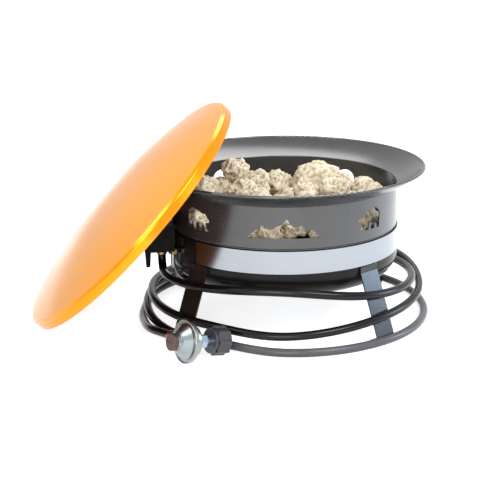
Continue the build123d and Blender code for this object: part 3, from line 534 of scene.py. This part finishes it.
finishes = {
    "black_enamel": {
        "light": (0.034, 0.034, 0.036), "dark": (0.024, 0.023, 0.023), "edgeAmount": 0.0,
        "rough": (0.21, 0.29), "specular": 0.85, "coat": 0.15, "coatRoughness": 0.2, "grain": 0.05,
    },
    # Painted shade: the legs' black, darker than the ring's
    "legs_shaded_enamel": {
        "light": (0.017, 0.016, 0.016), "dark": (0.011, 0.009, 0.008), "edgeAmount": 0.0,
        "rough": (0.16, 0.24), "specular": 0.50, "grain": 0.05,
    },
    # Painted shade: the pan's black, darker than the ring's
    "pan_shaded_enamel": {
        "light": (0.010, 0.009, 0.009), "dark": (0.006, 0.005, 0.005), "edgeAmount": 0.0,
        "rough": (0.22, 0.32), "specular": 0.16, "grain": 0.05,
    },
    # Painted shade: the black of the valve's cover, bracket and finger, darker for the lid's shade
    "box_shaded_enamel": {
        "light": (0.0075, 0.0070, 0.0065), "dark": (0.0050, 0.0045, 0.0040),
        "edge": (0.03, 0.028, 0.026), "rough": (0.42, 0.54), "specular": 0.05,
        "grain": 0.20, "grainScale": 520.0,
    },
    "burner_steel": {
        "light": (0.42, 0.38, 0.34), "dark": (0.26, 0.22, 0.19), "metallic": 1.0,
        "rough": (0.35, 0.55), "grain": 0.2,
    },
    "pipe_aluminium": {
        "light": (0.36, 0.37, 0.39), "dark": (0.28, 0.29, 0.31), "metallic": 1.0,
        "rough": (0.3, 0.42),
    },
    "valve_brass": {
        "light": (0.62, 0.50, 0.20), "dark": (0.48, 0.36, 0.13), "metallic": 1.0,
        "rough": (0.24, 0.40),
    },
    "zinc_screws": {
        "light": (0.56, 0.56, 0.55), "dark": (0.42, 0.42, 0.41), "metallic": 1.0,
        "rough": (0.25, 0.4),
    },
    "knob_plastic": {
        "light": (0.030, 0.030, 0.031), "dark": (0.022, 0.022, 0.022),
        "rough": (0.42, 0.52), "grain": 0.15,
    },
    "ferrule_copper": {
        "light": (0.50, 0.26, 0.22), "dark": (0.34, 0.15, 0.12), "metallic": 1.0,
        "rough": (0.3, 0.45),
    },
    "regulator_zinc": {
        "light": (0.31, 0.37, 0.42), "dark": (0.25, 0.25, 0.20), "edge": (0.50, 0.52, 0.50),
        "metallic": 1.0, "rough": (0.20, 0.36), "patchScale": 34.0, "contrast": 0.40, "grain": 0.12,
    },
    "vent_bronze": {
        "light": (0.15, 0.095, 0.075), "dark": (0.085, 0.052, 0.042), "metallic": 0.8,
        "rough": (0.34, 0.5), "grain": 0.2,
    },
    "nipple_zinc": {
        "light": (0.40, 0.50, 0.64), "dark": (0.28, 0.36, 0.48), "metallic": 1.0,
        "rough": (0.18, 0.3),
    },
    "nut_plastic": {
        "light": (0.052, 0.051, 0.060), "dark": (0.034, 0.033, 0.040),
        "rough": (0.26, 0.38), "grain": 0.2, "grainScale": 320.0,
    },
}


# Colour patches, an edge tint, wandering roughness and a fine grain
def plainFinish(name, own):
    s = {**commonFinish, "edge": own["light"], **own}
    material, shader, link = newMaterial(
        name, s["metallic"], s["specular"], s["coat"], s["coatRoughness"],
    )
    patches = useGroup(
        material, patchyColor, Light=rgba(s["light"]), Dark=rgba(s["dark"]),
        Scale=s["patchScale"], Contrast=s["contrast"],
    )
    edges = useGroup(
        material, edgeTint, Edge=rgba(s["edge"]), Amount=s["edgeAmount"], Scale=s["edgeScale"],
    )
    low, high = s["rough"]
    rough = useGroup(material, roughSpread, Low=low, High=high, Scale=s["roughScale"])
    grain = useGroup(
        material, fineGrain, Scale=s["grainScale"], Strength=s["grain"], Depth=s["grainDepth"],
    )
    link(patches.outputs["Color"], edges.inputs["Color"])
    link(edges.outputs["Color"], shader.inputs["Base Color"])
    link(rough.outputs["Roughness"], shader.inputs["Roughness"])
    link(grain.outputs["Normal"], shader.inputs["Normal"])
    return material


lidSet = {
    "origin": (-0.2561, -0.0360, 0.1779),  # middle of the lid's open face
    "axis": (-0.7207, -0.1013, 0.6858),
    "domeMiddle": (0.4084, 0.0574, -0.4544),  # middle of the ball that the dome is cut from
    "poleHeight": (0.0457, 0.0472),
    "bandTop": (0.0150, 0.0195),  # the side band ends just under the dome's edge
    # Painted reflection: the dome's paler orange beside the deeper band stands for the pale gloss
    # the dome reflects and the band does not
    "dome": ((1.0, 0.42, 0.036), (0.98, 0.35, 0.022)),
    "patchScale": 5.0,
    "contrast": 0.6,
    "band": (1.0, 0.29, 0.000),
    "bandMetal": 0.6,  # tints the gloss on the side band
    # Painted highlight: a lighter, yellower tint on the band's sharp edges
    "bandEdgeGlint": (1.0, 0.60, 0.12),
    "bandEdgeGlintAmount": 0.5,
    "bandEdgeGlintScale": 90.0,
    # Painted shade: the inside of the lid, darker than the outside
    "inside": (0.42, 0.13, 0.010),
    "insideFacing": (-0.02, -0.25),
    "insideRough": 0.65,
    "rough": (0.15, 0.24),
    "roughScale": 9.0,
    "grain": 0.06,
    "grainScale": 260.0,
    "grainDepth": 0.0004,
    "specular": 0.24,
}


# Orange baked enamel, with painted light: the dome paler than the side band is painted reflection,
# the band's lighter edges are a painted highlight, and the darker inside of the lid is painted
# shade; the inside is also rougher
def lidFinish(s):
    material, shader, link = newMaterial("lidEnamel", specular=s["specular"])
    tree = material.node_tree
    coords = put(tree, "ShaderNodeTexCoord")

    # Height over the open face parts the band from the dome
    fromFace = put(tree, "ShaderNodeVectorMath", {1: s["origin"]}, operation="SUBTRACT")
    height = put(tree, "ShaderNodeVectorMath", {1: s["axis"]}, operation="DOT_PRODUCT")
    low, high = s["bandTop"]
    domeMask = put(tree, "ShaderNodeMapRange", {"From Min": low, "From Max": high})
    link(coords.outputs["Object"], fromFace.inputs[0])
    link(fromFace.outputs["Vector"], height.inputs[0])
    link(height.outputs["Value"], domeMask.inputs["Value"])

    # What faces back along the axis is the inside
    facing = put(tree, "ShaderNodeVectorMath", {1: s["axis"]}, operation="DOT_PRODUCT")
    low, high = s["insideFacing"]
    insideMask = put(tree, "ShaderNodeMapRange", {"From Min": low, "From Max": high})
    link(coords.outputs["Normal"], facing.inputs[0])
    link(facing.outputs["Value"], insideMask.inputs["Value"])

    light, dark = s["dome"]
    patches = useGroup(
        material, patchyColor, Light=rgba(light), Dark=rgba(dark),
        Scale=s["patchScale"], Contrast=s["contrast"],
    )
    # The band's lighter edges are a painted highlight
    edges = useGroup(
        material, edgeTint, Color=rgba(s["band"]), Edge=rgba(s["bandEdgeGlint"]),
        Amount=s["bandEdgeGlintAmount"], Scale=s["bandEdgeGlintScale"],
    )
    # Band against dome: the dome's paler orange is painted reflection
    outer = put(tree, "ShaderNodeMix", data_type="RGBA")
    # The darker inside is painted shade
    whole = put(tree, "ShaderNodeMix", {"B": rgba(s["inside"])}, data_type="RGBA")
    link(domeMask.outputs["Result"], outer.inputs["Factor"])
    link(edges.outputs["Color"], outer.inputs["A"])
    link(patches.outputs["Color"], outer.inputs["B"])
    link(outer.outputs["Result"], whole.inputs["A"])
    link(insideMask.outputs["Result"], whole.inputs["Factor"])
    link(whole.outputs["Result"], shader.inputs["Base Color"])

    low, high = s["rough"]
    rough = useGroup(material, roughSpread, Low=low, High=high, Scale=s["roughScale"])
    dull = put(tree, "ShaderNodeMapRange", {"To Max": s["insideRough"]})
    link(insideMask.outputs["Result"], dull.inputs["Value"])
    link(rough.outputs["Roughness"], dull.inputs["To Min"])
    link(dull.outputs["Result"], shader.inputs["Roughness"])

    bandShine = put(tree, "ShaderNodeMapRange", {"To Min": s["bandMetal"], "To Max": 0.0})
    shine = put(tree, "ShaderNodeMapRange", {"To Max": 0.0})
    link(domeMask.outputs["Result"], bandShine.inputs["Value"])
    link(insideMask.outputs["Result"], shine.inputs["Value"])
    link(bandShine.outputs["Result"], shine.inputs["To Min"])
    link(shine.outputs["Result"], shader.inputs["Metallic"])

    # The CAD mesh has one stray normal at the dome's pole, so the ball's own is used there
    grain = useGroup(
        material, fineGrain, Scale=s["grainScale"], Strength=s["grain"], Depth=s["grainDepth"],
    )
    fromBall = put(tree, "ShaderNodeVectorMath", {1: s["domeMiddle"]}, operation="SUBTRACT")
    ballWay = put(tree, "ShaderNodeVectorMath", operation="NORMALIZE")
    low, high = s["poleHeight"]
    nearPole = put(tree, "ShaderNodeMapRange", {"From Min": low, "From Max": high})
    outerPole = put(tree, "ShaderNodeMapRange", {"To Max": 0.0})
    normal = put(tree, "ShaderNodeMix", data_type="VECTOR")
    link(coords.outputs["Object"], fromBall.inputs[0])
    link(fromBall.outputs["Vector"], ballWay.inputs[0])
    link(height.outputs["Value"], nearPole.inputs["Value"])
    link(insideMask.outputs["Result"], outerPole.inputs["Value"])
    link(nearPole.outputs["Result"], outerPole.inputs["To Min"])
    link(outerPole.outputs["Result"], normal.inputs["Factor"])
    link(grain.outputs["Normal"], normal.inputs["A"])
    link(ballWay.outputs["Vector"], normal.inputs["B"])
    link(normal.outputs["Result"], shader.inputs["Normal"])
    return material


rubberSet = {
    "clean": ((0.0050, 0.0050, 0.0062), (0.0028, 0.0028, 0.0036)),
    "cleanScale": 8.0,
    "cleanContrast": 0.5,
    # Painted sheen: a lighter grey for the lowest turn
    "paintedSheen": ((0.125, 0.123, 0.135), (0.085, 0.083, 0.092)),
    "paintedSheenScale": 14.0,
    "paintedSheenContrast": 0.6,
    "paintedSheenHeight": (0.0175, 0.0145),  # painted sheen: lighter grey on the lowest turn
    "paintedSheenSide": (-0.13, -0.07),
    "rough": (0.20, 0.30),
    "roughScale": 14.0,
    "grain": 0.10,
    "grainScale": 900.0,
    "grainDepth": 0.0004,
    "specular": 0.26,
}


# Black hose rubber, with a painted sheen: lighter grey low down on the lowest turn, except at the
# far left
def rubberFinish(s):
    material, shader, link = newMaterial("hoseRubber", specular=s["specular"])
    tree = material.node_tree
    coords = put(tree, "ShaderNodeTexCoord")
    place = put(tree, "ShaderNodeSeparateXYZ")
    light, dark = s["clean"]
    clean = useGroup(
        material, patchyColor, Light=rgba(light), Dark=rgba(dark),
        Scale=s["cleanScale"], Contrast=s["cleanContrast"],
    )
    light, dark = s["paintedSheen"]
    paintedSheen = useGroup(
        material, patchyColor, Light=rgba(light), Dark=rgba(dark),
        Scale=s["paintedSheenScale"], Contrast=s["paintedSheenContrast"],
    )
    # Mask of the painted sheen: low down, except at the far left
    top, full = s["paintedSheenHeight"]
    low = put(tree, "ShaderNodeMapRange", {"From Min": top, "From Max": full})
    left, right = s["paintedSheenSide"]
    side = put(tree, "ShaderNodeMapRange", {"From Min": left, "From Max": right})
    both = put(tree, "ShaderNodeMath", operation="MULTIPLY")
    mix = put(tree, "ShaderNodeMix", data_type="RGBA")
    smooth, coarse = s["rough"]
    rough = useGroup(material, roughSpread, Low=smooth, High=coarse, Scale=s["roughScale"])
    grain = useGroup(
        material, fineGrain, Scale=s["grainScale"], Strength=s["grain"], Depth=s["grainDepth"],
    )
    link(coords.outputs["Object"], place.inputs["Vector"])
    link(place.outputs["Z"], low.inputs["Value"])
    link(place.outputs["X"], side.inputs["Value"])
    link(low.outputs["Result"], both.inputs[0])
    link(side.outputs["Result"], both.inputs[1])
    link(both.outputs[0], mix.inputs["Factor"])
    link(clean.outputs["Color"], mix.inputs["A"])
    link(paintedSheen.outputs["Color"], mix.inputs["B"])
    link(mix.outputs["Result"], shader.inputs["Base Color"])
    link(rough.outputs["Roughness"], shader.inputs["Roughness"])
    link(grain.outputs["Normal"], shader.inputs["Normal"])
    return material


foilSet = {
    "tones": ((0.34, 0.36, 0.39), (0.28, 0.30, 0.33)),
    "stretch": (4.0, 4.0, 900.0),  # long round the bowl, fine up its side
    "rough": (0.10, 0.24),
    "bump": 0.12,
    "bumpDepth": 0.0003,
}


# Bare brushed foil, with long streaks round the bowl
def foilFinish(s):
    material, shader, link = newMaterial("bareFoil", metallic=1.0)
    tree = material.node_tree
    coords = put(tree, "ShaderNodeTexCoord")
    stretch = put(tree, "ShaderNodeMapping", {"Scale": s["stretch"]})
    streaks = put(tree, "ShaderNodeTexNoise", {"Scale": 1.0, "Detail": 3.0})
    light, dark = s["tones"]
    tone = put(tree, "ShaderNodeMix", {"A": rgba(light), "B": rgba(dark)}, data_type="RGBA")
    low, high = s["rough"]
    rough = put(tree, "ShaderNodeMapRange", {"To Min": low, "To Max": high})
    bump = put(tree, "ShaderNodeBump", {"Strength": s["bump"], "Distance": s["bumpDepth"]})
    link(coords.outputs["Object"], stretch.inputs["Vector"])
    link(stretch.outputs["Vector"], streaks.inputs["Vector"])
    link(streaks.outputs["Fac"], tone.inputs["Factor"])
    link(streaks.outputs["Fac"], rough.inputs["Value"])
    link(streaks.outputs["Fac"], bump.inputs["Height"])
    link(tone.outputs["Result"], shader.inputs["Base Color"])
    link(rough.outputs["Result"], shader.inputs["Roughness"])
    link(bump.outputs["Normal"], shader.inputs["Normal"])
    return material


stoneSet = {
    "crust": ((0.93, 0.84, 0.66), (0.70, 0.60, 0.43)),
    "crustScale": 38.0,
    "contrast": 0.35,
    # Painted shade: the hollows, found by pointiness, are darkened to brown
    "hollow": (0.15, 0.11, 0.06),
    "hollowPoint": (0.41, 0.52),  # pointiness from a hollow to open crust
    # Painted shade: the small pores are darkened
    "pore": (0.50, 0.38, 0.25),
    "poreScale": 260.0,
    "poreEdge": (0.12, 0.42),
    "poreBump": 0.4,
    "poreDepth": 0.0012,
    "grain": 0.5,
    "grainScale": 900.0,
    "grainDepth": 0.0006,
    "rough": 0.92,
}


# Porous tan stone: pale crusts, with brown painted shade in the hollows and darker painted shade in
# the small pores
def stoneFinish(s):
    material, shader, link = newMaterial("lavaStone")
    tree = material.node_tree
    shader.inputs["Roughness"].default_value = s["rough"]
    coords = put(tree, "ShaderNodeTexCoord")
    light, dark = s["crust"]
    patches = useGroup(
        material, patchyColor, Light=rgba(light), Dark=rgba(dark),
        Scale=s["crustScale"], Contrast=s["contrast"],
    )
    pores = put(tree, "ShaderNodeTexVoronoi", {"Scale": s["poreScale"]})
    low, high = s["poreEdge"]
    poreMask = put(
        tree, "ShaderNodeMapRange",
        {"From Min": low, "From Max": high, "To Min": 1.0, "To Max": 0.0},
    )
    geometry = put(tree, "ShaderNodeNewGeometry")
    # Painted shade in the hollows, by pointiness
    low, high = s["hollowPoint"]
    openCrust = put(tree, "ShaderNodeMapRange", {"From Min": low, "From Max": high})
    crust = put(tree, "ShaderNodeMix", {"A": rgba(s["hollow"])}, data_type="RGBA")
    # Painted shade in the pores
    poreColor = put(tree, "ShaderNodeMix", {"B": rgba(s["pore"])}, data_type="RGBA")
    bump = put(
        tree, "ShaderNodeBump", {"Strength": s["poreBump"], "Distance": s["poreDepth"]}, invert=True,
    )
    grain = useGroup(
        material, fineGrain, Scale=s["grainScale"], Strength=s["grain"], Depth=s["grainDepth"],
    )
    link(coords.outputs["Object"], pores.inputs["Vector"])
    link(pores.outputs["Distance"], poreMask.inputs["Value"])
    link(geometry.outputs["Pointiness"], openCrust.inputs["Value"])
    link(openCrust.outputs["Result"], crust.inputs["Factor"])
    link(patches.outputs["Color"], crust.inputs["B"])
    link(poreMask.outputs["Result"], poreColor.inputs["Factor"])
    link(crust.outputs["Result"], poreColor.inputs["A"])
    link(poreColor.outputs["Result"], shader.inputs["Base Color"])
    link(poreMask.outputs["Result"], bump.inputs["Height"])
    link(grain.outputs["Normal"], bump.inputs["Normal"])
    link(bump.outputs["Normal"], shader.inputs["Normal"])
    return material


materials = {slot: plainFinish(slot + "_finish", s) for slot, s in finishes.items()}
materials["orange_enamel"] = lidFinish(lidSet)
materials["hose_rubber"] = rubberFinish(rubberSet)
materials["silver_foil"] = foilFinish(foilSet)
materials["lava_stone"] = stoneFinish(stoneSet)

# The pan, the legs and the valve's cover get darker blacks than the ring, as painted shade for the
# shade under the bowl and under the leaning lid
shadedFinish = {
    "lower_bowl": "pan_shaded_enamel", "valve_box": "box_shaded_enamel",
    "valve_bracket": "box_shaded_enamel", "hose_guide": "box_shaded_enamel",
}
shadedFinish.update({name: "legs_shaded_enamel" for name in nodes if name.startswith("leg_")})
slotOfNode = {part["node"]: part["material_slot"] for part in frame["record"]["subparts"]}


def dress(piece, finish):
    piece.data.materials.clear()
    piece.data.materials.append(materials[finish])


for name, node in nodes.items():
    dress(node, shadedFinish.get(name, slotOfNode[name]))
for piece in rockPieces:
    dress(piece, "lava_stone")
dress(hoseTube, "hose_rubber")
dress(guideFinger, "box_shaded_enamel")
print("finishes on", len(nodes), "nodes")


# Studio

studioSet = {
    "floorSize": 14.0,
    "floorPlace": (0, 3.0, -0.0002),
    "floorRough": 0.95,
    "floorSeen": 0.86,
    "floorBounce": 0.42,  # what the floor throws back at the object
    "floorLift": 0.78,  # makes the paper white to the eye, under the shadow
    "worldSeen": 1.0,
    "worldLight": 0.34,
    "lamps": (
        {"place": (1.5, -1.7, 2.3), "size": 1.5, "power": 58.0, "color": (1.0, 1.0, 1.0)},
        {"place": (-0.3, -2.6, 0.8), "size": 1.2, "power": 32.0, "color": (1.0, 0.98, 0.95)},
        {"place": (0.3, 1.7, 2.3), "size": 1.8, "power": 30.0, "color": (1.0, 1.0, 1.0)},
        {"place": (-1.8, -0.9, 2.1), "size": 1.2, "power": 17.0, "color": (1.0, 1.0, 1.0)},
        {"place": (2.1, 0.3, 0.7), "size": 0.9, "power": 24.0, "color": (0.56, 0.75, 1.0)},
    ),
    "aim": (0.0, 0.0, 0.12),
}


# 1 for a ray from the camera, from gloss or through glass, and otherwise 0
def seenMask(tree):
    path = put(tree, "ShaderNodeLightPath")
    glossy = put(tree, "ShaderNodeMath", operation="MAXIMUM")
    seen = put(tree, "ShaderNodeMath", operation="MAXIMUM")
    tree.links.new(path.outputs["Is Camera Ray"], glossy.inputs[0])
    tree.links.new(path.outputs["Is Glossy Ray"], glossy.inputs[1])
    tree.links.new(glossy.outputs[0], seen.inputs[0])
    tree.links.new(path.outputs["Is Transmission Ray"], seen.inputs[1])
    return seen.outputs[0]


def ramp(tree, mask, low, high):
    node = put(tree, "ShaderNodeMapRange", {"To Min": low, "To Max": high})
    tree.links.new(mask, node.inputs["Value"])
    return node.outputs["Result"]


def addFloor(s):
    bpy.ops.mesh.primitive_plane_add(size=s["floorSize"], location=s["floorPlace"])
    floor = bpy.context.object
    floor.name = "studioFloor"
    material, shader, link = newMaterial("floorPaper", specular=0.0)
    shader.inputs["Roughness"].default_value = s["floorRough"]
    tree = material.node_tree
    glow = put(tree, "ShaderNodeEmission")
    add = put(tree, "ShaderNodeAddShader")
    mask = seenMask(tree)
    link(ramp(tree, mask, s["floorBounce"], s["floorSeen"]), shader.inputs["Base Color"])
    link(ramp(tree, mask, 0.0, s["floorLift"]), glow.inputs["Strength"])
    link(shader.outputs[0], add.inputs[0])
    link(glow.outputs[0], add.inputs[1])
    link(add.outputs[0], tree.nodes["Material Output"].inputs["Surface"])
    floor.data.materials.append(material)


def addLamps(s):
    for k, lamp in enumerate(s["lamps"]):
        aim = Vector(s["aim"]) - Vector(lamp["place"])
        turn = aim.to_track_quat("-Z", "Y").to_euler()
        bpy.ops.object.light_add(type="AREA", location=lamp["place"], rotation=turn)
        light = bpy.context.object
        light.name = f"softLamp{k + 1}"
        light.data.shape = "DISK"
        light.data.size = lamp["size"]
        light.data.energy = lamp["power"]
        light.data.color = lamp["color"]


def addWorld(s):
    world = bpy.data.worlds.new("studioWorld")
    bpy.context.scene.world = world
    world.use_nodes = True
    tree = world.node_tree
    background = tree.nodes["Background"]
    background.inputs["Color"].default_value = (1, 1, 1, 1)
    light = ramp(tree, seenMask(tree), s["worldLight"], s["worldSeen"])
    tree.links.new(light, background.inputs["Strength"])


addFloor(studioSet)
addLamps(studioSet)
addWorld(studioSet)
bpy.context.scene.view_settings.view_transform = "Standard"
print("studio lit")
